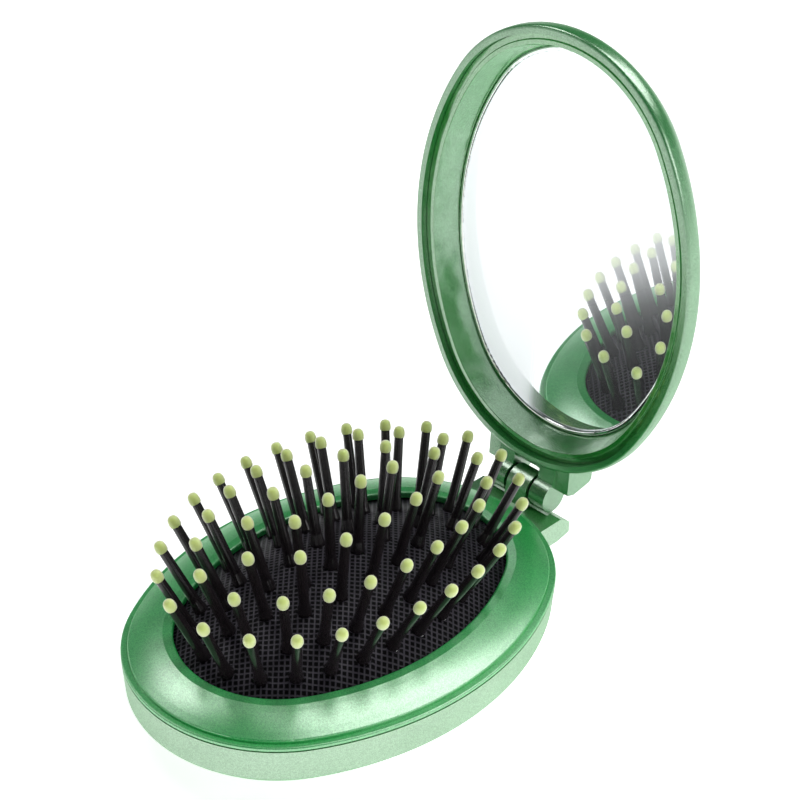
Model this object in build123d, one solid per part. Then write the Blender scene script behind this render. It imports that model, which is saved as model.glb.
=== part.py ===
from build123d import *
import os
from math import atan2, cos, degrees, hypot, pi, radians, sin, sqrt

# Styling brush with mirror: an oval case with a domed rubber cushion of ball-tipped pins,
# and a hinged lid with a mirror inside. The lid stands open as it does at rest.
# Lengths are millimetres. X runs along the case towards the hinge, Z is up, and the
# origin is the middle of the plane that the case stands on.

# Driving dimensions
half_length = 45.0
half_width = 33.5
end_radius_share = 0.8665
lid_rest_angle = 92.25

# Heights of the base above the surface that it stands on
foot_height = 7.0
band_height = 6.7
groove_height = 0.2
lip_thickness = 0.75
step_height = 0.65
crest_rise = 2.25
case_wall = 1.6
lid_closing_gap = 0.8

# Insets of the base from the reference outline
band_draft = 0.45
lip_inset = 1.25
crest_inset = 7.7
opening_inset = 9.6
foot_inset = 11.8
thumb_inset = 16.5

# Domed cushion
dome_share = 0.965
dome_rise = 7.88
dome_reach_share = 1.3
apex_above_lip = 9.81
cushion_thickness = 1.15
flange_thickness = 0.9

# Pins
pin_length = 15.8
pin_root_radius = 1.0
pin_end_radius = 0.86
neck_radius = 0.85
foot_radius = 1.35
pin_foot_height = 0.6
foot_taper = 2.0
head_radius = 1.2
head_thickness = 0.6
tip_radius = 1.08
tip_above = 1.0
tip_below = 1.15
tip_ring_radius = 0.97
outer_ring_length_share = 0.933
outer_ring_width_share = 0.834
outer_ring_count = 26
middle_ring_length_share = 0.766
middle_ring_width_share = 0.602
middle_ring_count = 20
inner_ring_length_share = 0.568
inner_ring_width_share = 0.307
inner_ring_count = 12
centre_row_pitch_share = 0.1973
centre_row_count = 4

# Hinge
hinge_out = 6.0
hinge_above_lip = 1.9
knuckle_radius = 3.3
hinge_half_width = 7.2
middle_knuckle_half = 2.6
outer_knuckle_start = 3.3
hinge_pin_radius = 0.9
hinge_pin_half = 6.2
bracket_half = 10.5

# Lid
lid_lip = 1.4
lid_step = 1.5
mirror_depth = 7.33
mirror_thickness = 0.8
tape_thickness = 0.5
lid_wall = 1.2
lid_crown = 12.3

# Clearances and cutting overrun
running_gap = 0.04
seat_gap = 0.05
fit_gap = 0.1
swing_gap = 0.5
overrun = 2.0

# Worked out from the sizes above
end_radius = half_width * end_radius_share
side_radius = (half_length**2 + half_width**2 - 2 * half_length * end_radius) / (
    2 * (half_width - end_radius)
)
end_centre = half_length - end_radius
side_centre = side_radius - half_width
join_angle = degrees(atan2(side_centre, end_centre))
band_top = foot_height + band_height
lip_bottom = band_top + groove_height
lip_top = lip_bottom + lip_thickness
step_top = lip_top + step_height
crest_top = step_top + crest_rise
dome_apex = lip_top + apex_above_lip
dome_half_length = (half_length - opening_inset) * dome_share
dome_half_width = (half_width - opening_inset) * dome_share
rim_plane = lip_top + lid_closing_gap
hinge_x = half_length + hinge_out
hinge_z = lip_top + hinge_above_lip
mirror_plane = rim_plane + mirror_depth


def outline(points):
    """A closed flat outline through (x, y, corner radius) points, with its corners rounded."""
    edges = []
    count = len(points)
    ends = []
    for i in range(count):
        before, here, after = points[i - 1], points[i], points[(i + 1) % count]
        here_at = Vector(here[0], here[1])
        to_before = (Vector(before[0], before[1]) - here_at).normalized()
        to_after = (Vector(after[0], after[1]) - here_at).normalized()
        if here[2] == 0:
            ends.append((here_at, here_at))
            continue
        half_turn = radians(to_before.get_angle(to_after)) / 2
        reach = here[2] / (sin(half_turn) / cos(half_turn))
        start = here_at + to_before * reach
        finish = here_at + to_after * reach
        middle = here_at + (to_before + to_after).normalized() * (here[2] / sin(half_turn) - here[2])
        edges.append(ThreePointArc(start, middle, finish))
        ends.append((start, finish))
    for i in range(count):
        edges.append(Line(ends[i - 1][1], ends[i][0]))
    return make_face(edges)


def oval(inset):
    """The case outline, drawn in by an inset, as a flat face of four tangent arcs."""
    end = end_radius - inset
    side = side_radius - inset
    join_x = end_centre + end * cos(radians(join_angle))
    join_y = end * sin(radians(join_angle))
    tip = end_centre + end
    top = side - side_centre
    return make_face(
        [
            ThreePointArc((join_x, -join_y), (tip, 0), (join_x, join_y)),
            ThreePointArc((join_x, join_y), (0, top), (-join_x, join_y)),
            ThreePointArc((-join_x, join_y), (-tip, 0), (-join_x, -join_y)),
            ThreePointArc((-join_x, -join_y), (0, -top), (join_x, -join_y)),
        ]
    )


def oval_plate(inset, bottom, top):
    """An upright block of the case outline between two heights."""
    return Pos(0, 0, bottom) * extrude(oval(inset), top - bottom)


def around(profile):
    """A section, drawn with x as the distance out from the outline, carried round the case."""
    side_turn = 180 - 2 * join_angle
    sectors = [
        (end_centre, 0, end_radius, -join_angle, 2 * join_angle),
        (0, -side_centre, side_radius, join_angle, side_turn),
        (-end_centre, 0, end_radius, 180 - join_angle, 2 * join_angle),
        (0, side_centre, side_radius, 180 + join_angle, side_turn),
    ]
    ring = None
    for centre_x, centre_y, radius, start, turn in sectors:
        section = Plane.XZ * (Pos(radius, 0) * profile)
        sector = Pos(centre_x, centre_y, 0) * Rot(0, 0, start) * revolve(section, Axis.Z, turn)
        ring = sector if ring is None else ring + sector
    return ring


def post(x, y, radius, bottom, top):
    """An upright round bar."""
    return Pos(x, y, bottom) * extrude(Circle(radius), top - bottom)


def crossbar(radius, low, high):
    """A round bar on the hinge line between two places along Y."""
    return Pos(hinge_x, low, hinge_z) * extrude(Plane.XZ * Circle(radius), -(high - low))


def slab(points, low, high):
    """An outline of (x, z) from the hinge line, with its corner radii, between two places along Y."""
    return Pos(hinge_x, low, hinge_z) * extrude(Plane.XZ * outline(points), -(high - low))


def opened(piece):
    """A piece of the closed lid, turned about the hinge line to its place at rest."""
    return Pos(hinge_x, 0, hinge_z) * Rot(0, lid_rest_angle, 0) * Pos(-hinge_x, 0, -hinge_z) * piece


def write(name, piece):
    """One file for one sub-part."""
    piece.label = name
    export_step(piece, os.path.join("parts", name + ".step"))


# Fastening of the base
screw_inset = 3.9
screw_angle = 38.0
screw_radius = 0.95
screw_pilot = 0.8
screw_hole = 1.1
screw_head_radius = 1.7
screw_head_thickness = 1.3
counterbore_radius = 1.85
screw_seat = 7.4
screw_tip_cover = 0.8
screw_slot_width = 0.5
screw_slot_depth = 0.6
boss_radius = 1.8
socket_radius = 3.0
socket_top = 9.0
spigot_inset = 1.8
spigot_thickness = 0.7
spigot_depth = 1.3
clamp_bottom = 12.5
clamp_thickness = 1.4
clamp_inset = 5.95
clamp_width = 3.45
rib_inset = 6.0
rib_width = 0.9
support_inset = 7.6
support_radius = 1.1
support_count = 10

clamp_top = clamp_bottom + clamp_thickness
flange_bottom = clamp_top + seat_gap
flange_top = flange_bottom + flange_thickness


def screw_places():
    """The four screws, square to the end arcs of the outline."""
    reach = end_radius - screw_inset
    x = end_centre + reach * cos(radians(screw_angle))
    y = reach * sin(radians(screw_angle))
    return [(x, y), (-x, y), (-x, -y), (x, -y)]


# Base shell
band_corner = 0.9
foot_corner = 0.8
foot_edge = 0.5
flank_bulge_out = 5.3
flank_bulge_up = 2.8
flank_inner_inset = 1.7
flank_inner_height = 8.6

# Base hinge bracket, from the hinge line
bracket_reach = 1.5
bracket_top = -3.0
bracket_shoulder = -1.3
bracket_chamfer = -4.9
bracket_nose = -7.4
bracket_bottom = -8.1
bracket_heel = -2.0
bracket_root = -11.0
bracket_edge = 0.3
web_front = -4.0
web_drop = -4.2
web_edge = 0.4
bracket_cut_inset = 1.0


def base_shell():
    """Lower case: side band, sloping flank, foot ring with the thumb opening, and hinge bracket."""
    section = make_face(
        [
            ThreePointArc(
                (-foot_inset, 0), (-flank_bulge_out, flank_bulge_up), (-band_draft, foot_height)
            ),
            Line((-band_draft, foot_height), (0, band_top)),
            Line((0, band_top), (-flank_inner_inset, band_top)),
            Line((-flank_inner_inset, band_top), (-flank_inner_inset, flank_inner_height)),
            Line((-flank_inner_inset, flank_inner_height), (-foot_inset, case_wall)),
            Line((-foot_inset, case_wall), (-thumb_inset, case_wall)),
            Line((-thumb_inset, case_wall), (-thumb_inset, 0)),
            Line((-thumb_inset, 0), (-foot_inset, 0)),
        ]
    )
    corner = section.vertices().sort_by_distance((-band_draft, foot_height))[0]
    section = fillet(corner, band_corner)
    shell = around(section)
    bracket = slab(
        [
            (bracket_root, bracket_top, 0),
            (bracket_shoulder, bracket_top, bracket_edge),
            (bracket_reach, bracket_chamfer, bracket_edge),
            (bracket_reach, bracket_nose, bracket_edge),
            (bracket_heel, bracket_bottom, bracket_edge),
            (bracket_root, bracket_bottom, 0),
        ],
        -bracket_half,
        bracket_half,
    )
    clear = crossbar(knuckle_radius + swing_gap, middle_knuckle_half, hinge_half_width + swing_gap)
    bracket -= clear
    bracket -= mirror(clear, Plane.XZ)
    web = slab(
        [
            (web_front, bracket_top, 0),
            (-knuckle_radius, 0, web_edge),
            (knuckle_radius, 0, web_edge),
            (knuckle_radius, web_drop, 0),
            (web_front, web_drop, 0),
        ],
        -middle_knuckle_half,
        middle_knuckle_half,
    )
    bracket += web
    bracket += crossbar(knuckle_radius, -middle_knuckle_half, middle_knuckle_half)
    bracket -= oval_plate(bracket_cut_inset, 0, crest_top)
    shell += bracket
    shell -= crossbar(hinge_pin_radius + running_gap, -bracket_half, bracket_half)
    shell_room = around(
        outline(
            [
                (-band_draft - case_wall / 2, foot_height, 0),
                (0, band_top, 0),
                (-foot_inset, band_top, 0),
                (-foot_inset, case_wall / 2, 0),
            ]
        )
    )
    for x, y in screw_places():
        socket = post(x, y, socket_radius, 0, socket_top) & shell_room
        shell += socket
        shell += post(x, y, boss_radius, screw_seat, clamp_bottom - seat_gap)
        shell -= post(x, y, counterbore_radius, -overrun, screw_seat)
        shell -= post(x, y, screw_hole, 0, clamp_top)
    for x, y in oval_points(support_inset, support_count):
        shell += post(x, y, support_radius, case_wall / 2, clamp_bottom - seat_gap) & shell_above()
    return shell


def shell_above():
    """The room over the inside of the lower case, where the supports stand."""
    return around(
        outline(
            [
                (-foot_inset, case_wall / 2, 0),
                (-flank_inner_inset, flank_inner_height - case_wall / 2, 0),
                (-flank_inner_inset, clamp_top, 0),
                (-foot_inset, clamp_top, 0),
            ]
        )
    )


def oval_points(inset, count):
    """Places spaced evenly round the case outline, starting half a space from the hinge end."""
    wire = oval(inset).face().outer_wire()
    places = []
    for i in range(count):
        at = wire.position_at((i + 0.5) / count)
        places.append((at.X, at.Y))
    return places


# Base top ring
ring_skin = 1.6
lip_round = 0.3
step_round = 0.3
roll_radius = 0.45
ring_arch = 0.35
arch_radius = 20.0
crest_round = 0.35
wall_bottom_above_step = 0.9


def base_top_ring():
    """Upper part of the base: lip, step and broad sloping ring round the cushion's opening."""
    wall_bottom = step_top + wall_bottom_above_step
    skin_step = step_top - ring_skin
    slope = crest_rise / (crest_inset - lip_inset)
    rib_out = skin_step + slope * (rib_inset - lip_inset)
    rib_in = skin_step + slope * (rib_inset + rib_width - lip_inset)
    spigot_in = spigot_inset + spigot_thickness
    middle_inset = (lip_inset + crest_inset) / 2
    middle_height = (step_top + crest_top) / 2 + ring_arch
    section = outline(
        [
            (0, lip_bottom, lip_round / 2),
            (0, lip_top, lip_round),
            (-lip_inset, lip_top, 0),
            (-lip_inset, step_top, step_round),
            (-middle_inset, middle_height, arch_radius),
            (-crest_inset, crest_top, crest_round),
            (-opening_inset, crest_top, roll_radius),
            (-opening_inset, wall_bottom, lip_round / 2),
            (-crest_inset, wall_bottom - lip_round, 0),
            (-(rib_inset + rib_width), rib_in, 0),
            (-(rib_inset + rib_width), flange_top + seat_gap, 0),
            (-rib_inset, flange_top + seat_gap, 0),
            (-rib_inset, rib_out, 0),
            (-spigot_in, lip_bottom - lip_round, 0),
            (-spigot_in, lip_bottom - spigot_depth, 0),
            (-spigot_inset, lip_bottom - spigot_depth, 0),
            (-spigot_inset, lip_bottom, 0),
        ]
    )
    ring = around(section)
    for x, y in screw_places():
        ring += post(x, y, boss_radius, clamp_bottom, lip_top)
        ring -= post(x, y, screw_pilot, clamp_bottom - overrun, step_top - screw_tip_cover)
    return ring


def cushion_clamp_ring():
    """Flat ring that holds the cushion's flange up against the top ring."""
    inner = clamp_inset + clamp_width
    section = outline(
        [
            (-clamp_inset, clamp_bottom, 0),
            (-clamp_inset, clamp_top, 0),
            (-inner, clamp_top, lip_round),
            (-inner, clamp_bottom, lip_round),
        ]
    )
    return around(section)


def base_screws():
    """Four slotted pan-head screws, heads down, in the lower case."""
    tip = step_top - screw_tip_cover - seat_gap
    screws = []
    for x, y in screw_places():
        head_bottom = screw_seat - seat_gap - screw_head_thickness
        head = post(x, y, screw_head_radius, head_bottom, screw_seat - seat_gap)
        head = fillet(head.edges().sort_by(Axis.Z)[0], screw_slot_width)
        shank = post(x, y, screw_pilot - seat_gap, screw_seat - seat_gap, tip)
        slot = Pos(x, y, head_bottom) * Box(2 * screw_head_radius, screw_slot_width, 2 * screw_slot_depth)
        screws.append(head + shank - slot)
    return Compound(children=screws)


# Cushion and pins
def dome_height(x, y):
    """Height of the cushion's outer face."""
    return dome_apex - dome_rise * ((x / dome_half_length) ** 2 + (y / dome_half_width) ** 2)


def dome_normal(x, y):
    """Direction square to the cushion's outer face, out of the cushion."""
    return Vector(
        2 * dome_rise * x / dome_half_length**2, 2 * dome_rise * y / dome_half_width**2, 1
    ).normalized()


def ring_places(length_share, width_share, count, first):
    """Pin places spaced evenly along an ellipse from the +Y side, the first by a share of a space."""
    length = dome_half_length * length_share
    width = dome_half_width * width_share
    steps = 1440
    lengths = [0.0]
    points = [(0.0, width)]
    for i in range(1, steps + 1):
        angle = 2 * pi * i / steps
        here = (-length * sin(angle), width * cos(angle))
        lengths.append(lengths[-1] + hypot(here[0] - points[-1][0], here[1] - points[-1][1]))
        points.append(here)
    places = []
    for i in range(count):
        wanted = (i + first) / count * lengths[-1]
        index = min(range(steps + 1), key=lambda k: abs(lengths[k] - wanted))
        places.append(points[index])
    return places


def pin_rings():
    """Pin places of the three rings and the middle row, by name."""
    pitch = dome_half_length * centre_row_pitch_share
    middle_row = [((i - (centre_row_count - 1) / 2) * pitch, 0) for i in range(centre_row_count)]
    return {
        "outer": ring_places(outer_ring_length_share, outer_ring_width_share, outer_ring_count, 0),
        "middle": ring_places(middle_ring_length_share, middle_ring_width_share, middle_ring_count, 0.5),
        "inner": ring_places(inner_ring_length_share, inner_ring_width_share, inner_ring_count, 0),
        "centre": middle_row,
    }


def on_cushion(piece, x, y):
    """A piece drawn up from the origin, moved to stand square on the cushion."""
    normal = dome_normal(x, y)
    root = Vector(x, y, dome_height(x, y))
    return Plane(origin=root, z_dir=normal).location * piece


def cushion():
    """Domed rubber cushion with a clamped flange and a hole for each pin."""
    reach = dome_half_length * dome_reach_share
    edge = dome_apex - dome_rise * dome_reach_share**2
    under = dome_apex - cushion_thickness
    section = make_face(
        [
            Bezier((0, dome_apex), (reach / 2, dome_apex), (reach, edge)),
            Line((reach, edge), (reach, edge - cushion_thickness)),
            Bezier((reach, edge - cushion_thickness), (reach / 2, under), (0, under)),
            Line((0, under), (0, dome_apex)),
        ]
    )
    dome = revolve(Plane.XZ * section, Axis.Z, 360)
    dome = scale(dome, by=(1, dome_half_width / dome_half_length, 1))
    dome &= oval_plate(rib_inset + rib_width + fit_gap, flange_bottom, dome_apex + overrun)
    flange = oval_plate(clamp_inset, flange_bottom, flange_top)
    flange -= oval_plate(opening_inset, flange_bottom - overrun, flange_top + overrun)
    pad = dome + flange
    hole = Pos(0, 0, -2 * cushion_thickness) * extrude(Circle(neck_radius + seat_gap), 4 * cushion_thickness)
    holes = [on_cushion(hole, x, y) for places in pin_rings().values() for x, y in places]
    return pad - holes


def pin():
    """One pin, drawn up from the cushion's face: head below, neck, foot and tapering shaft."""
    head_top = -cushion_thickness - seat_gap
    section = outline(
        [
            (0, head_top - head_thickness, 0),
            (head_radius, head_top - head_thickness, head_thickness / 3),
            (head_radius, head_top, head_thickness / 3),
            (neck_radius, head_top, 0),
            (neck_radius, seat_gap, 0),
            (foot_radius, seat_gap, 0),
            (foot_radius, pin_foot_height, head_thickness / 2),
            (pin_root_radius, pin_foot_height + foot_taper, foot_taper),
            (pin_end_radius, pin_length, 0),
            (0, pin_length, 0),
        ]
    )
    return revolve(Plane.XZ * section, Axis.Z, 360)


def pin_tip():
    """One drop-shaped ball tip, hollow where it sits on the pin's end."""
    bottom = pin_length - tip_below
    hollow = pin_end_radius + seat_gap
    section = make_face(
        [
            Line((0, pin_length + seat_gap), (0, pin_length + tip_above)),
            Spline(
                [
                    (0, pin_length + tip_above),
                    (tip_radius, pin_length),
                    (tip_ring_radius + seat_gap, bottom),
                ],
                tangents=[(1, 0), (-tip_radius / tip_below / 3, -1)],
            ),
            Line((tip_ring_radius + seat_gap, bottom), (hollow, bottom)),
            Line((hollow, bottom), (hollow, pin_length + seat_gap)),
            Line((hollow, pin_length + seat_gap), (0, pin_length + seat_gap)),
        ]
    )
    return revolve(Plane.XZ * section, Axis.Z, 360)


def pin_group(piece, places):
    """Copies of a pin or tip, each standing square on the cushion, as separate solids."""
    return Compound(children=[on_cushion(piece, x, y) for x, y in places])


# Thumb plate under the cushion
plate_half_length = 13.0
plate_half_width = 3.6
plate_thickness = 0.95
plate_round = 0.3
plate_below_heads = 0.3


def thumb_plate():
    """Stiff oval plate under the middle row's heads, pressed by a thumb from below."""
    last_pin = max(pin_rings()["centre"])
    head_bottom = dome_height(*last_pin)
    top = head_bottom - cushion_thickness - head_thickness - plate_below_heads
    straight = plate_half_length - plate_half_width
    face = SlotCenterToCenter(2 * straight, 2 * plate_half_width)
    plate = Pos(0, 0, top - plate_thickness) * extrude(face, plate_thickness)
    return fillet(plate.edges().group_by(Axis.Z)[0], plate_round)


# Hinge
washer_radius = 2.8


def hinge_pin():
    """Steel pin through the middle knuckle and into the two outer ones."""
    return crossbar(hinge_pin_radius, -hinge_pin_half, hinge_pin_half)


def hinge_washers():
    """Two dark friction washers that fill the gaps beside the middle knuckle."""
    washer = crossbar(washer_radius, middle_knuckle_half + seat_gap, outer_knuckle_start - seat_gap)
    washer -= crossbar(hinge_pin_radius + running_gap, 0, hinge_half_width)
    return Compound(children=[washer, mirror(washer, Plane.XZ)])


# Lid, drawn closed
lid_front_inset = 0.5
lid_bulge = 0.2
lid_bulge_height = 1.9
lid_flank_inset = 1.3
lid_flank_height = 5.1
lid_shoulder_inset = 3.0
lid_shoulder_height = 7.2
lid_turn_inset = 5.6
lid_turn_height = 9.4
lid_back_inset = 10.5
lid_back_height = 11.4
lid_flat_share = 0.9646
lid_flat_inset = lid_flat_share * end_radius
lid_lip_height = 2.0
cavity_flank_inset = 3.1
cavity_flank_height = 6.0
cavity_floor_inset = 6.4
pocket_inset = 10.6
pocket_edge_height = 9.4
pocket_turn_inset = 12.5
pocket_turn_height = 10.2
pocket_height = 10.9

# Lid hinge bracket, closed, from the hinge line
ear_floor = 0.0
ear_toe = -2.0
ear_front = -1.4
ear_front_height = 2.0
ear_top = -2.4
ear_top_height = 6.7
ear_back = -3.1
ear_back_height = 7.3
ear_root = -10.0
ear_edge = 0.25
arm_nose = 0.9
arm_nose_height = 3.17
arm_top = -2.4
arm_top_height = 5.9
arm_toe = -3.2
arm_toe_height = -0.8
notch_half = 3.4
notch_depth = 3.9
notch_root = -4.9
slit_half = 2.3
slit_root = -5.6


def lid_section_outer():
    """Outside of the lid as edges of (distance out, height), from the rim to the flat crown."""
    return [
        Spline(
            [(-lid_front_inset, rim_plane), (lid_bulge, rim_plane + lid_bulge_height)],
            tangents=[(1, 0), (0, 1)],
        ),
        Spline(
            [
                (lid_bulge, rim_plane + lid_bulge_height),
                (-lid_flank_inset, rim_plane + lid_flank_height),
                (-lid_shoulder_inset, rim_plane + lid_shoulder_height),
                (-lid_turn_inset, rim_plane + lid_turn_height),
                (-lid_back_inset, rim_plane + lid_back_height),
                (-lid_flat_inset, rim_plane + lid_crown),
            ],
            tangents=[(0, 1), (-1, 0)],
        ),
    ]


def lid_cavity():
    """The room inside the lid shell, down to the flat that the mirror is stuck on."""
    floor = mirror_plane + mirror_thickness + tape_thickness
    section = outline(
        [
            (-lid_lip, rim_plane - overrun, 0),
            (-lid_lip, rim_plane + lid_lip_height, 0),
            (-cavity_flank_inset, rim_plane + cavity_flank_height, lid_wall),
            (-cavity_floor_inset, floor, 0),
            (-lid_flat_inset, floor, 0),
            (-lid_flat_inset, rim_plane - overrun, 0),
        ]
    )
    room = around(section) + oval_plate(lid_flat_inset, rim_plane - overrun, floor)
    pocket = outline(
        [
            (-pocket_inset, floor - tape_thickness, 0),
            (-pocket_inset, rim_plane + pocket_edge_height, 0),
            (-pocket_turn_inset, rim_plane + pocket_turn_height, 0),
            (-lid_flat_inset, rim_plane + pocket_height, 0),
            (-lid_flat_inset, floor - tape_thickness, 0),
        ]
    )
    room += around(pocket)
    return room + oval_plate(lid_flat_inset, floor - tape_thickness, rim_plane + pocket_height)


def lid_shell():
    """Domed outer lid with two outer hinge knuckles on their bracket."""
    section = make_face(
        lid_section_outer()
        + [
            Line((-lid_flat_inset, rim_plane + lid_crown), (-lid_flat_inset, rim_plane)),
            Line((-lid_flat_inset, rim_plane), (-lid_front_inset, rim_plane)),
        ]
    )
    shell = around(section) + oval_plate(lid_flat_inset, rim_plane, rim_plane + lid_crown)
    ear = slab(
        [
            (ear_root, ear_floor, 0),
            (ear_toe, ear_floor, ear_edge),
            (ear_front, ear_front_height, ear_edge),
            (ear_top, ear_top_height, ear_edge),
            (ear_back, ear_back_height, ear_edge),
            (ear_root, ear_back_height, 0),
        ],
        -bracket_half,
        bracket_half,
    )
    ear -= slab(
        [
            (notch_root, -knuckle_radius, 0),
            (knuckle_radius, -knuckle_radius, 0),
            (knuckle_radius, notch_depth, 0),
            (notch_root, notch_depth, 0),
        ],
        -notch_half,
        notch_half,
    )
    ear -= slab(
        [
            (slit_root, -knuckle_radius, 0),
            (notch_root, -knuckle_radius, 0),
            (notch_root, lid_crown, 0),
            (slit_root, lid_crown, 0),
        ],
        -slit_half,
        slit_half,
    )
    arm = slab(
        [
            (ear_root, ear_floor, 0),
            (arm_toe, arm_toe_height, 0),
            (arm_nose, arm_nose_height, 0),
            (arm_top, arm_top_height, 0),
            (ear_root, arm_top_height, 0),
        ],
        outer_knuckle_start,
        hinge_half_width,
    )
    arm += crossbar(knuckle_radius, outer_knuckle_start, hinge_half_width)
    arm -= crossbar(hinge_pin_radius + running_gap, 0, hinge_pin_half + running_gap)
    fittings = ear + arm + mirror(arm, Plane.XZ)
    fittings -= crossbar(hinge_pin_radius + running_gap, -hinge_pin_half, hinge_pin_half)
    return shell + fittings - lid_cavity()


# Lid inner frame
frame_groove_inset = 2.6
frame_ridge_inset = 2.75
frame_top_inset = 3.6
frame_ridge_height = 1.15
frame_end_inset = 5.15
frame_end_height = 6.75
frame_foot_height = 7.25
frame_edge = 0.15


def lid_inner_frame():
    """Sloping inner frame between the lid's rim and the mirror, with a step inside the rim."""
    outer_top = lid_lip + fit_gap
    section = outline(
        [
            (-outer_top, rim_plane + lid_step, 0),
            (-frame_groove_inset, rim_plane + lid_step, frame_edge / 2),
            (-frame_ridge_inset, rim_plane + frame_ridge_height, frame_edge / 2),
            (-frame_top_inset, rim_plane + frame_ridge_height, frame_edge),
            (-frame_end_inset, rim_plane + frame_end_height, 0),
            (-frame_end_inset, rim_plane + frame_foot_height, 0),
            (-(cavity_flank_inset + fit_gap * 2), rim_plane + cavity_flank_height, 0),
            (-outer_top, rim_plane + lid_lip_height - fit_gap, 0),
        ]
    )
    return around(section)


# Mirror bezel
bezel_outer = 5.25
bezel_inner = 6.3
bezel_top = 6.75
bezel_round = 0.4
bezel_foot = 0.2
glass_inset = 5.95


def mirror_bezel():
    """Bright rounded bead round the edge of the mirror."""
    section = outline(
        [
            (-bezel_outer, rim_plane + bezel_top, bezel_round),
            (-bezel_inner, rim_plane + bezel_top, bezel_round),
            (-bezel_inner, mirror_plane - seat_gap, 0),
            (-glass_inset + seat_gap, mirror_plane - seat_gap, 0),
            (-glass_inset + seat_gap, mirror_plane + bezel_foot, 0),
            (-bezel_outer, mirror_plane + bezel_foot, 0),
        ]
    )
    return around(section)


def mirror_glass():
    """Flat oval mirror."""
    return oval_plate(glass_inset, mirror_plane, mirror_plane + mirror_thickness)


# Mirror tape
tape_inset = 7.2
tape_width = 3.0


def mirror_tape():
    """Ring of foam tape that holds the edge of the mirror to the lid."""
    low = mirror_plane + mirror_thickness
    ring = oval_plate(tape_inset, low, low + tape_thickness)
    return ring - oval_plate(tape_inset + tape_width, low - overrun, low + overrun)


def main():
    os.makedirs("parts", exist_ok=True)
    write("base_shell", base_shell())
    write("base_top_ring", base_top_ring())
    write("cushion_clamp_ring", cushion_clamp_ring())
    write("base_screws", base_screws())
    write("cushion", cushion())
    for name, places in pin_rings().items():
        write("pins_" + name, pin_group(pin(), places))
        write("pin_tips_" + name, pin_group(pin_tip(), places))
    write("thumb_plate", thumb_plate())
    write("hinge_pin", hinge_pin())
    write("hinge_washers", hinge_washers())
    write("lid_shell", opened(lid_shell()))
    write("lid_inner_frame", opened(lid_inner_frame()))
    write("mirror_bezel", opened(mirror_bezel()))
    write("mirror_glass", opened(mirror_glass()))
    write("mirror_tape", opened(mirror_tape()))


main()
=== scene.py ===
import math

import bmesh
import bpy
from mathutils import Matrix, Vector
from mathutils.geometry import delaunay_2d_cdt


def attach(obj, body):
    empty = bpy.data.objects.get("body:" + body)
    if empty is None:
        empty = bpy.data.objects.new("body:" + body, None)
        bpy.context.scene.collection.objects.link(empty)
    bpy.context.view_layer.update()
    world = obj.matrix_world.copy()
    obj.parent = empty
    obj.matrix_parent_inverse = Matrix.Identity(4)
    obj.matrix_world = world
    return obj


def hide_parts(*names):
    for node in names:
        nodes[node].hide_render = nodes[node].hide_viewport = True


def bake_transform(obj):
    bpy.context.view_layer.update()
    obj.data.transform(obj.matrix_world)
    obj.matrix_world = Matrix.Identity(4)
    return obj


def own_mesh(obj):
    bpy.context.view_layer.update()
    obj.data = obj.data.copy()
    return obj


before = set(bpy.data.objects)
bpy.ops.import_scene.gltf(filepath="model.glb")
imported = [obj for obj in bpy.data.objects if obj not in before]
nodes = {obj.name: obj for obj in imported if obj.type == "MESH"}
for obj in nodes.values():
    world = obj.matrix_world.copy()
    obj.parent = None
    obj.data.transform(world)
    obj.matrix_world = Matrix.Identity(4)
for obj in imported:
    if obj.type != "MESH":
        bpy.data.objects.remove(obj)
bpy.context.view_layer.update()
MM = 0.001

# Case outline and dome of the cushion, as the CAD has them
CASE_LENGTH, CASE_WIDTH, END_RADIUS = 45.0 * MM, 33.5 * MM, 29.03 * MM
DOME_LENGTH, DOME_WIDTH = 34.16 * MM, 23.06 * MM
DOME_APEX, DOME_RISE = 24.46 * MM, 7.88 * MM
CUSHION_THICKNESS, FLANGE_THICKNESS = 1.15 * MM, 0.88 * MM
FLANGE_TOP, FLANGE_INSET = 14.83 * MM, 6.0 * MM

# Pins: how deep the head sits under the cushion's face, and the slice that finds its middle
PIN_HEAD_DEPTH, PIN_HEAD_SLICE = 1.5 * MM, 0.5 * MM
SAME_POINT = 0.001 * MM
PIN_SHARP_ANGLE = math.radians(40)

# Lines along which the outer pins lean in, and the share of their reach that they keep
LEANS = {
    "ends": ((1, 0, 0), 0.92),
    "sides": ((0, 1, 0), 0.89),
    "quarters_a": ((0.6, 0.8, 0), 0.91),
    "quarters_b": ((0.6, -0.8, 0), 0.91),
}
# Pins that face the ends below this slope of the dome, and the sides above the other, in degrees
ENDS_BELOW, SIDES_ABOVE = 25, 68

# Cushion's net and the moulded collars round its pins
NET_PITCH, NET_ROW = 1.0 * MM, 0.866
OUTLINE_POINTS, HOLE_POINTS = 160, 18
PIN_HOLE, HOLE_SHARE = 0.92 * MM, 0.97
COLLAR_RADIUS, COLLAR_SPREAD, COLLAR_HEIGHT = 1.65 * MM, 0.3 * MM, 0.22 * MM
COLLAR_RINGS = (1.3 * MM, 1.65 * MM, 2.0 * MM)
CDT_INSIDE, CDT_NEAR = 1, 1e-7
CUSHION_SHARP_ANGLE = math.radians(50)

# Pearl lacquer: scale and share of its flakes and clouds, and how dark the darkest flake is
FLAKE_SCALE, FLAKE_SHARE, FLAKE_HEIGHT = 6500.0, 0.7, 0.00003
CLOUD_SCALE, CLOUD_SHARE = 110.0, 0.3
DARKEST_FLAKE = 0.55
PEARL_TINT = (0.86, 1.0, 0.87, 1)
DULL_SHEEN, BRIGHT_SHEEN = 0.36, 0.60

# Faint texture of the plain materials, and how far their colour strays
PLAIN_SCALE = 900.0
PLAIN_DARK, PLAIN_LIGHT = 0.85, 1.12

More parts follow.
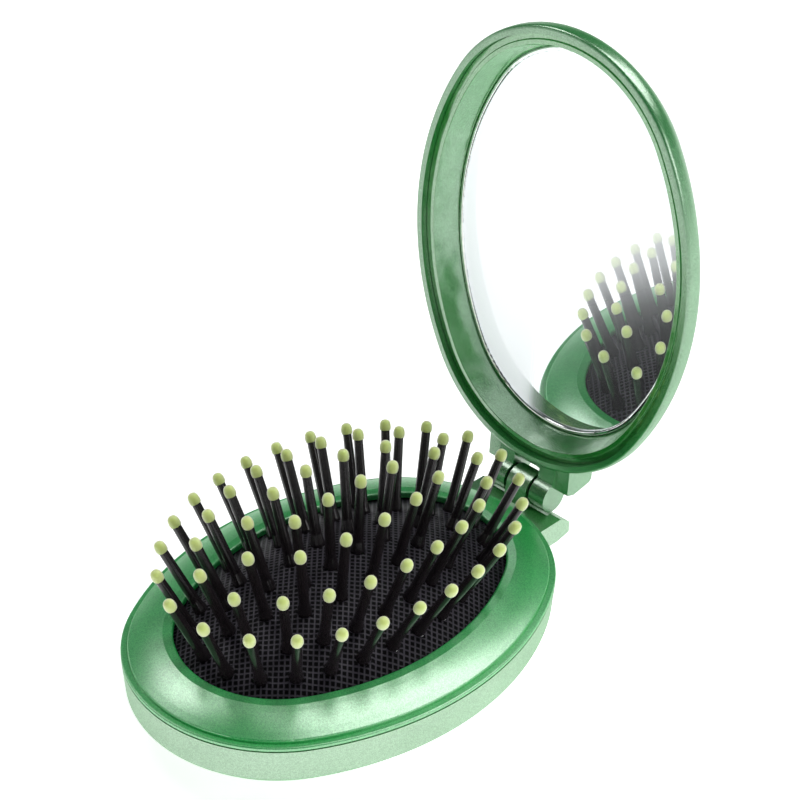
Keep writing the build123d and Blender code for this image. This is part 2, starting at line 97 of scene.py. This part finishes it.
# Square grid moulded on the cushion, across its bars, and where a ridge starts and is full
GRID_PITCH = 1.0 * MM
GRID_START, GRID_FULL = 0.26, 0.40
GRID_HEIGHT = 0.3 * MM
# The ridges' lighter colour is a painted highlight and the grooves' near-black is painted shade on
# the black rubber.
GROOVE_PAINTED_SHADE, RIDGE_PAINTED_HIGHLIGHT = (0.001, 0.001, 0.0015), (0.042, 0.036, 0.051)
GROOVE_SHEEN, RIDGE_SHEEN = 0.08, 0.5

# Tips: how deep light goes in, and their colours from the middle of each ball to its edge, paler
# at the edge as a painted sheen
RESIN_DEPTH = (0.0008, 0.001, 0.0004)
RESIN_AND_RIM_SHEEN = [(0.05, (0.78, 0.94, 0.30)), (0.35, (0.86, 0.98, 0.45)), (0.7, (0.96, 1.0, 0.72))]

# How the glass lies in its bed, and how the painted glow on it grows, in mm up the glass and
# across it
GLASS_LEAN = (-0.00182, -0.0135, -0.04636)
GLOW_SLANT, GLOW_SPAN, GLOW_STRENGTH = 0.685, 100.0, 0.6
GLOW_UP_GLASS = [
    (28.7, 0.01),
    (43.7, 0.07),
    (49.7, 0.15),
    (53.7, 0.28),
    (58.0, 0.46),
    (62.7, 0.58),
    (73.7, 0.97),
]
GLOW_BESIDE = [(2.0, 0.03), (5.0, 0.3), (7.0, 0.85), (9.0, 0.97)]

# Floor, surround and lights: each light's place, what it faces, its size and its power
FLOOR_HALF, FLOOR_DROP = 3.0, 0.0002
SURROUND = [(0.0, (0.95, 0.95, 0.95)), (0.16, (0.40, 0.41, 0.42)), (0.35, (0.07, 0.075, 0.08))]
LIGHTS = {
    "right": ((0.36, -0.09, 0.70), (0.0, 0, 0.03), (0.38, 0.66), 3.2),
    "left": ((-0.04, 0.41, 0.58), (0.0, 0, 0.03), (0.26, 0.20), 0.8),
    "front": ((0.20, -0.60, 0.35), (0.02, 0, 0.05), (0.4, 0.25), 0.9),
}

# Camera, at the photograph's angle
AZIMUTH, ELEVATION, ROLL = math.radians(-45.89), math.radians(33.05), math.radians(1.24)
DISTANCE, AIM_X, AIM_Z = 360.9 * MM, 13.79 * MM, 53.12 * MM


def add_object(name, data):
    obj = bpy.data.objects.new(name, data)
    bpy.context.scene.collection.objects.link(obj)
    return obj


def make_camera():
    back = Vector(
        (
            math.sin(AZIMUTH) * math.cos(ELEVATION),
            -math.cos(AZIMUTH) * math.cos(ELEVATION),
            math.sin(ELEVATION),
        )
    )
    right = (-back).cross(Vector((0, 0, 1))).normalized()
    up = right.cross(-back)
    right, up = (
        right * math.cos(ROLL) + up * math.sin(ROLL),
        up * math.cos(ROLL) - right * math.sin(ROLL),
    )
    data = bpy.data.cameras.new("camera")
    data.sensor_width = 36
    data.lens = 90
    data.clip_start, data.clip_end = 0.01, 20
    camera = add_object("camera", data)
    turn = Matrix((right, up, back)).transposed().to_4x4()
    place = Vector((AIM_X, 0, AIM_Z)) + back * DISTANCE
    camera.matrix_world = Matrix.Translation(place) @ turn
    bpy.context.scene.camera = camera


make_camera()


# Material helpers; the owner of the nodes is a material or the world
def new_material(name, **values):
    """A material with a Principled shader, its plain sockets set by name."""
    material = bpy.data.materials.new(name)
    material.use_nodes = True
    shader = material.node_tree.nodes["Principled BSDF"]
    for socket, value in values.items():
        shader.inputs[socket.replace("_", " ")].default_value = value
    return material, shader


def add_node(owner, kind, **settings):
    """A shader node with its properties and plain inputs set by name."""
    node = owner.node_tree.nodes.new(kind)
    for name, value in settings.items():
        if hasattr(node, name):
            setattr(node, name, value)
        else:
            node.inputs[name.replace("_", " ")].default_value = value
    return node


def link(owner, source, target):
    owner.node_tree.links.new(source, target)


def grey(white):
    return (white, white, white)


def ramp(owner, source, stops):
    """A colour ramp with (place, colour) stops, fed by a value."""
    node = add_node(owner, "ShaderNodeValToRGB")
    elements = node.color_ramp.elements
    while len(elements) < len(stops):
        elements.new(0.5)
    for element, (place, colour) in zip(elements, stops):
        element.position = place
        element.color = (*colour, 1)
    link(owner, source, node.inputs["Fac"])
    return node.outputs["Color"]


def math_node(owner, operation, first, second=0.0):
    node = add_node(owner, "ShaderNodeMath", operation=operation)
    for socket, value in zip(node.inputs, (first, second)):
        if hasattr(value, "is_linked"):
            link(owner, value, socket)
        else:
            socket.default_value = value
    return node.outputs[0]


def texture(owner, kind, **settings):
    """A procedural texture laid on the object's own coordinates."""
    node = add_node(owner, kind, **settings)
    link(owner, add_node(owner, "ShaderNodeTexCoord").outputs["Object"], node.inputs["Vector"])
    return node


def split_place(owner, coordinates):
    """The X, Y and Z outputs of one kind of coordinates."""
    split = add_node(owner, "ShaderNodeSeparateXYZ")
    link(owner, add_node(owner, "ShaderNodeTexCoord").outputs[coordinates], split.inputs[0])
    return split.outputs


def bumped(material, height, strength, distance, under=None):
    """A normal raised by a height, on top of another normal where one is given."""
    bump = add_node(material, "ShaderNodeBump", Strength=strength, Distance=distance)
    link(material, height, bump.inputs["Height"])
    if under:
        link(material, under, bump.inputs["Normal"])
    return bump.outputs["Normal"]


def paint(obj, material):
    obj.data.materials.clear()
    obj.data.materials.append(material)


# Materials
def pearl_green(name, body, roughness, ior, wave_height=0.00002, wave_scale=260.0):
    """Pearl lacquer: deep green with a strong, pale, soft sheen and fine flakes."""
    material, shader = new_material(
        name, Roughness=roughness, IOR=ior, Specular_Tint=PEARL_TINT
    )
    flakes = texture(material, "ShaderNodeTexVoronoi", Scale=FLAKE_SCALE)
    clouds = texture(material, "ShaderNodeTexNoise", Scale=CLOUD_SCALE, Detail=2.0)
    sparkle = math_node(material, "MULTIPLY", flakes.outputs["Color"], FLAKE_SHARE)
    drift = math_node(material, "MULTIPLY", clouds.outputs["Fac"], CLOUD_SHARE)
    grain = math_node(material, "ADD", sparkle, drift)
    low = [c * DARKEST_FLAKE for c in body]
    link(material, ramp(material, grain, [(0.15, low), (0.8, body)]), shader.inputs["Base Color"])
    sheen = ramp(material, grain, [(0.15, grey(DULL_SHEEN)), (0.85, grey(BRIGHT_SHEEN))])
    link(material, sheen, shader.inputs["Specular IOR Level"])
    waves = texture(material, "ShaderNodeTexNoise", Scale=wave_scale, Detail=2.0)
    wavy = bumped(material, waves.outputs["Fac"], 1.0, wave_height)
    flaky = bumped(material, flakes.outputs["Color"], 0.2, FLAKE_HEIGHT, under=wavy)
    link(material, flaky, shader.inputs["Normal"])
    return material


def plain(name, colour, roughness, metallic=0.0, depth=0.00002, **extra):
    """Moulded or drawn surface with a faint texture and slight colour change."""
    material, shader = new_material(name, Roughness=roughness, Metallic=metallic, **extra)
    noise = texture(material, "ShaderNodeTexNoise", Scale=PLAIN_SCALE, Detail=3.0).outputs["Fac"]
    low = [c * PLAIN_DARK for c in colour]
    high = [min(1, c * PLAIN_LIGHT) for c in colour]
    link(material, ramp(material, noise, [(0.3, low), (0.7, high)]), shader.inputs["Base Color"])
    link(material, bumped(material, noise, 0.3, depth), shader.inputs["Normal"])
    return material


def grid_rubber():
    """Black rubber with a fine raised square grid that runs corner to corner along the case, its
    ridges painted lighter as a painted highlight and its grooves darker as painted shade.
    """
    material, shader = new_material("cushion_rubber", Roughness=0.5)
    place = split_place(material, "Object")
    bars_per_metre = 1 / (GRID_PITCH * math.sqrt(2))
    ridges = []
    for operation in ("ADD", "SUBTRACT"):
        diagonal = math_node(material, operation, place["X"], place["Y"])
        bars = math_node(material, "MULTIPLY", diagonal, bars_per_metre)
        off_middle = math_node(material, "SUBTRACT", math_node(material, "FRACT", bars), 0.5)
        ridges.append(math_node(material, "ABSOLUTE", off_middle))
    highest = math_node(material, "MAXIMUM", ridges[0], ridges[1])
    raised = ramp(material, highest, [(GRID_START, grey(0)), (GRID_FULL, grey(1))])
    # Painted highlight on the ridges and painted shade in the grooves.
    colour = ramp(material, raised, [(0.0, GROOVE_PAINTED_SHADE), (1.0, RIDGE_PAINTED_HIGHLIGHT)])
    link(material, colour, shader.inputs["Base Color"])
    sheen = ramp(material, raised, [(0.0, grey(GROOVE_SHEEN)), (1.0, grey(RIDGE_SHEEN))])
    link(material, sheen, shader.inputs["Specular IOR Level"])
    link(material, bumped(material, raised, 0.9, GRID_HEIGHT), shader.inputs["Normal"])
    return material


def resin_with_painted_sheen():
    """Soft yellow-green resin, paler towards the edge of each ball as a painted sheen."""
    material, shader = new_material(
        "tip_resin",
        Roughness=0.38,
        Subsurface_Weight=0.15,
        Subsurface_Radius=RESIN_DEPTH,
        Subsurface_Scale=1.0,
    )
    edge = add_node(material, "ShaderNodeLayerWeight", Blend=0.35)
    # Painted sheen: the colour pales where the ball turns away from the view.
    link(material, ramp(material, edge.outputs["Facing"], RESIN_AND_RIM_SHEEN), shader.inputs["Base Color"])
    return material


def glow_ramp(material, distance, stops):
    """Painted glow by a distance on the glass, from stops in mm."""
    share = math_node(material, "MULTIPLY", distance, 1 / (GLOW_SPAN * MM))
    return ramp(material, share, [(place / GLOW_SPAN, grey(white)) for place, white in stops])


def leaning_normal(material):
    """The glass's own normal, turned a little because the glass lies out of true in its bed."""
    lean = add_node(
        material,
        "ShaderNodeVectorTransform",
        vector_type="VECTOR",
        convert_from="OBJECT",
        convert_to="WORLD",
        Vector=GLASS_LEAN,
    )
    leaning = add_node(material, "ShaderNodeVectorMath", operation="ADD")
    face = add_node(material, "ShaderNodeNewGeometry")
    link(material, face.outputs["Normal"], leaning.inputs[0])
    link(material, lean.outputs[0], leaning.inputs[1])
    unit = add_node(material, "ShaderNodeVectorMath", operation="NORMALIZE")
    link(material, leaning.outputs[0], unit.inputs[0])
    return unit.outputs[0]


def mirror_surface():
    """Silvered glass, turned white and lit with a painted glow towards its top and one side."""
    material, shader = new_material(
        "mirror_silver",
        Roughness=0.012,
        Base_Color=(0.9, 0.92, 0.94, 1),
        Emission_Color=(0.93, 0.96, 1, 1),
    )
    place = split_place(material, "Object")
    slant = math_node(material, "MULTIPLY", place["Y"], GLOW_SLANT)
    upper = glow_ramp(material, math_node(material, "ADD", slant, place["Z"]), GLOW_UP_GLASS)
    beside = glow_ramp(material, place["Y"], GLOW_BESIDE)
    # Painted glow: towards its top and one side the glass loses its silver and glows white over
    # its reflection.
    painted_glow = math_node(material, "MAXIMUM", upper, beside)
    link(material, math_node(material, "SUBTRACT", 1.0, painted_glow), shader.inputs["Metallic"])
    glow = math_node(material, "MULTIPLY", painted_glow, GLOW_STRENGTH)
    link(material, glow, shader.inputs["Emission Strength"])
    link(material, leaning_normal(material), shader.inputs["Normal"])
    return material


# The ring's and the frame's copies of the pearl green have lighter bodies as painted light, and
# the lid's copy a darker body as painted shade.
case_green = pearl_green("case_green", body=(0.006, 0.34, 0.03), roughness=0.32, ior=5.6)
ring_green_lit_copy = pearl_green("ring_green_lit_copy", body=(0.001, 0.64, 0.11), roughness=0.31, ior=3.7)
lid_green_shaded_copy = pearl_green("lid_green_shaded_copy", body=(0.004, 0.30, 0.04), roughness=0.27, ior=3.6)
frame_green_lit_copy = pearl_green(
    "frame_green_lit_copy",
    body=(0.010, 0.40, 0.03),
    roughness=0.17,
    ior=3.8,
    wave_height=0.0008,
    wave_scale=85.0,
)
black_nylon = plain(
    "black_nylon", (0.016, 0.012, 0.014), 0.18, Coat_Weight=0.3, Coat_Roughness=0.1
)
tip_resin = resin_with_painted_sheen()
black_plastic = plain("black_plastic", (0.02, 0.02, 0.022), 0.5)
plain_steel = plain("plain_steel", (0.6, 0.6, 0.62), 0.28, metallic=1.0)
washer_rubber = plain("washer_rubber", (0.015, 0.015, 0.015), 0.6)
foam = plain("foam", (0.7, 0.7, 0.68), 0.9)
chrome = plain("chrome", (0.86, 0.88, 0.88), 0.08, metallic=1.0, depth=0.00001)
mirror_silver = mirror_surface()
rubber = grid_rubber()

for node, material in {
    "base_shell": case_green,
    "base_top_ring": ring_green_lit_copy,
    "cushion_clamp_ring": black_plastic,
    "base_screws": plain_steel,
    "pins_middle": black_nylon,
    "pins_inner": black_nylon,
    "pins_centre": black_nylon,
    "pins_outer": black_nylon,
    "pin_tips_outer": tip_resin,
    "pin_tips_middle": tip_resin,
    "pin_tips_inner": tip_resin,
    "pin_tips_centre": tip_resin,
    "thumb_plate": black_plastic,
    "hinge_pin": plain_steel,
    "hinge_washers": washer_rubber,
    "lid_shell": lid_green_shaded_copy,
    "lid_inner_frame": frame_green_lit_copy,
    "mirror_bezel": chrome,
    "mirror_glass": mirror_silver,
    "mirror_tape": foam,
}.items():
    paint(nodes[node], material)


# Meshes
def smooth_object(name, bm, material, sharp_angle):
    """An object made from a bmesh, which is freed, smooth except over a sharp angle."""
    mesh = bpy.data.meshes.new(name)
    bm.to_mesh(mesh)
    bm.free()
    cad_normals = mesh.attributes.get("custom_normal")
    if cad_normals:
        mesh.attributes.remove(cad_normals)
    mesh.shade_smooth()
    mesh.set_sharp_from_angle(angle=sharp_angle)
    obj = add_object(name, mesh)
    paint(obj, material)
    return obj


def merged_copy(mesh):
    """A bmesh of a CAD mesh with its split points joined."""
    bm = bmesh.new()
    bm.from_mesh(mesh)
    bmesh.ops.remove_doubles(bm, verts=bm.verts, dist=SAME_POINT)
    return bm


def islands(bm):
    """The separate pieces of a bmesh, each as a list of its points."""
    seen = set()
    groups = []
    for first in bm.verts:
        if first in seen:
            continue
        seen.add(first)
        group = [first]
        for point in group:
            for edge in point.link_edges:
                other = edge.other_vert(point)
                if other not in seen:
                    seen.add(other)
                    group.append(other)
        groups.append(group)
    return groups


def mean_point(points):
    return sum((point.co for point in points), Vector()) / len(points)


# Pins
def pin_roots(node):
    """Where each pin of a CAD node passes through the cushion's face."""
    bm = merged_copy(nodes[node].data)
    roots = []
    for group in islands(bm):
        lowest = min(point.co.z for point in group)
        head = mean_point([point for point in group if point.co.z < lowest + PIN_HEAD_SLICE])
        along = (mean_point(group) - head).normalized()
        roots.append(head + along * PIN_HEAD_DEPTH)
    bm.free()
    return roots


def lean_of(place):
    """Which way a pin at a place leans, as the name of one of the LEANS."""
    steepness = math.atan2(abs(place.y) / DOME_WIDTH**2, abs(place.x) / DOME_LENGTH**2)
    slope = math.degrees(steepness)
    if slope < ENDS_BELOW:
        return "ends"
    if slope > SIDES_ABOVE:
        return "sides"
    return "quarters_a" if place.x * place.y > 0 else "quarters_b"


def leaning_pieces(node, material):
    """The outer pins or tips split into four pieces, one for each of the LEANS, attached to the
    outer pins' body.
    """
    for lean, (axis, keep) in LEANS.items():
        bm = merged_copy(nodes[node].data)
        others = []
        for group in islands(bm):
            if lean_of(mean_point(group)) != lean:
                others.extend(group)
        bmesh.ops.delete(bm, geom=others, context="VERTS")
        obj = smooth_object(node + "_" + lean, bm, material, PIN_SHARP_ANGLE)
        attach(obj, "outer_pins")
        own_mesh(obj)
        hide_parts(node)


# Cushion, as the rubber between the pins
def dome_z(x, y):
    height = DOME_APEX - DOME_RISE * ((x / DOME_LENGTH) ** 2 + (y / DOME_WIDTH) ** 2)
    return max(height, FLANGE_TOP)


def case_oval(inset):
    """Points round the case outline, drawn in by an inset."""
    side_radius = (CASE_LENGTH**2 + CASE_WIDTH**2 - 2 * CASE_LENGTH * END_RADIUS) / (
        2 * (CASE_WIDTH - END_RADIUS)
    )
    end_centre = CASE_LENGTH - END_RADIUS
    side_centre = side_radius - CASE_WIDTH
    join = math.atan2(side_centre, end_centre)
    points = []
    for k in range(OUTLINE_POINTS):
        turn = 2 * math.pi * k / OUTLINE_POINTS
        turned = math.atan2(abs(math.sin(turn)), abs(math.cos(turn)))
        if turned < join:
            x = end_centre + (END_RADIUS - inset) * math.cos(turned)
            y = (END_RADIUS - inset) * math.sin(turned)
        else:
            x = (side_radius - inset) * math.cos(turned)
            y = (side_radius - inset) * math.sin(turned) - side_centre
        points.append(Vector((math.copysign(x, math.cos(turn)), math.copysign(y, math.sin(turn)))))
    return points


def hole_ring(centre, radius):
    """Points on a circle round a pin's hole."""
    turns = [2 * math.pi * k / HOLE_POINTS for k in range(HOLE_POINTS)]
    return [centre + radius * Vector((math.cos(t), math.sin(t))) for t in turns]


def net_points(centres):
    """The net's own points, clear of the collars and of the outline."""
    rows = int(CASE_WIDTH / NET_PITCH)
    columns = int(CASE_LENGTH / NET_PITCH)
    rim = case_oval(FLANGE_INSET + NET_PITCH)
    clear = COLLAR_RINGS[-1] + 0.5 * NET_PITCH
    points = []
    for row in range(-rows, rows + 1):
        for column in range(-columns, columns + 1):
            x = (column + 0.5 * (row % 2)) * NET_PITCH
            place = Vector((x, row * NET_PITCH * NET_ROW))
            if min((place - centre).length for centre in centres) < clear:
                continue
            edge = min(rim, key=lambda point: (point - place).length)
            if place.length <= edge.length:
                points.append(place)
    return points


def cushion_layout(centres):
    """Flat points of the cushion, and the edges that its net must keep."""
    points, edges = [], []

    def loop(places):
        start = len(points)
        points.extend(places)
        edges.extend((start + k, start + (k + 1) % len(places)) for k in range(len(places)))

    loop(case_oval(FLANGE_INSET))
    for centre in centres:
        loop(hole_ring(centre, PIN_HOLE))
        for radius in COLLAR_RINGS:
            points.extend(hole_ring(centre, radius))
    points.extend(net_points(centres))
    return points, edges


def make_cushion():
    """Domed membrane with a moulded collar round each pin, clamped flange and open pin holes."""
    rings = ("outer", "middle", "inner", "centre")
    centres = [Vector((root.x, root.y)) for ring in rings for root in pin_roots("pins_" + ring)]
    points, edges = cushion_layout(centres)
    flat, _, faces, _, _, _ = delaunay_2d_cdt(points, edges, [], CDT_INSIDE, CDT_NEAR)

    def from_nearest(place):
        return min((place - centre).length for centre in centres)

    def in_rubber(face):
        middle = sum((flat[k] for k in face), Vector((0, 0))) / len(face)
        return from_nearest(middle) > PIN_HOLE * HOLE_SHARE

    bm = bmesh.new()
    top, bottom = [], []
    for place in flat:
        off_collar = (from_nearest(place) - COLLAR_RADIUS) / COLLAR_SPREAD
        collar = COLLAR_HEIGHT * math.exp(-(off_collar**2))
        height = dome_z(place.x, place.y)
        thickness = FLANGE_THICKNESS if height <= FLANGE_TOP else CUSHION_THICKNESS
        top.append(bm.verts.new((place.x, place.y, height + collar)))
        bottom.append(bm.verts.new((place.x, place.y, height - thickness)))
    for face in filter(in_rubber, faces):
        bm.faces.new([top[k] for k in face])
        bm.faces.new([bottom[k] for k in reversed(face)])
    index = {point: k for k, point in enumerate(top)}
    rims = [edge for edge in bm.edges if len(edge.link_faces) == 1 and edge.verts[0] in index]
    for edge in rims:
        corner = edge.link_loops[0]
        start, finish = index[corner.vert], index[corner.link_loop_next.vert]
        bm.faces.new((top[finish], top[start], bottom[start], bottom[finish]))
    loose = [point for point in bm.verts if not point.link_faces]
    bmesh.ops.delete(bm, geom=loose, context="VERTS")
    obj = smooth_object("cushion_membrane", bm, rubber, CUSHION_SHARP_ANGLE)
    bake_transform(obj)
    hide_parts("cushion")


make_cushion()
leaning_pieces("pins_outer", black_nylon)
leaning_pieces("pin_tips_outer", tip_resin)


# Floor and light
def make_floor():
    mesh = bpy.data.meshes.new("floor")
    signs = ((-1, -1), (1, -1), (1, 1), (-1, 1))
    corners = [(x * FLOOR_HALF, y * FLOOR_HALF, -FLOOR_DROP) for x, y in signs]
    mesh.from_pydata(corners, [], [(0, 1, 2, 3)])
    floor = add_object("floor", mesh)
    material, _ = new_material(
        "floor_white",
        Base_Color=(0.85, 0.85, 0.85, 1),
        Roughness=0.7,
        Emission_Color=(1, 1, 1, 1),
        Emission_Strength=0.75,
    )
    paint(floor, material)


def make_world():
    """Studio surround: white low down, dark overhead."""
    world = bpy.data.worlds.new("studio")
    world.use_nodes = True
    background = world.node_tree.nodes["Background"]
    shade = ramp(world, split_place(world, "Generated")["Z"], SURROUND)
    link(world, shade, background.inputs["Color"])
    bpy.context.scene.world = world


def area_light(name, place, target, size, power):
    data = bpy.data.lights.new(name, "AREA")
    data.shape = "RECTANGLE"
    data.size, data.size_y = size
    data.energy = power
    light = add_object(name, data)
    light.location = place
    light.rotation_mode = "QUATERNION"
    light.rotation_quaternion = (Vector(target) - Vector(place)).to_track_quat("-Z", "Y")


make_floor()
make_world()
for name, settings in LIGHTS.items():
    area_light(name, *settings)
bpy.context.scene.view_settings.view_transform = "Standard"
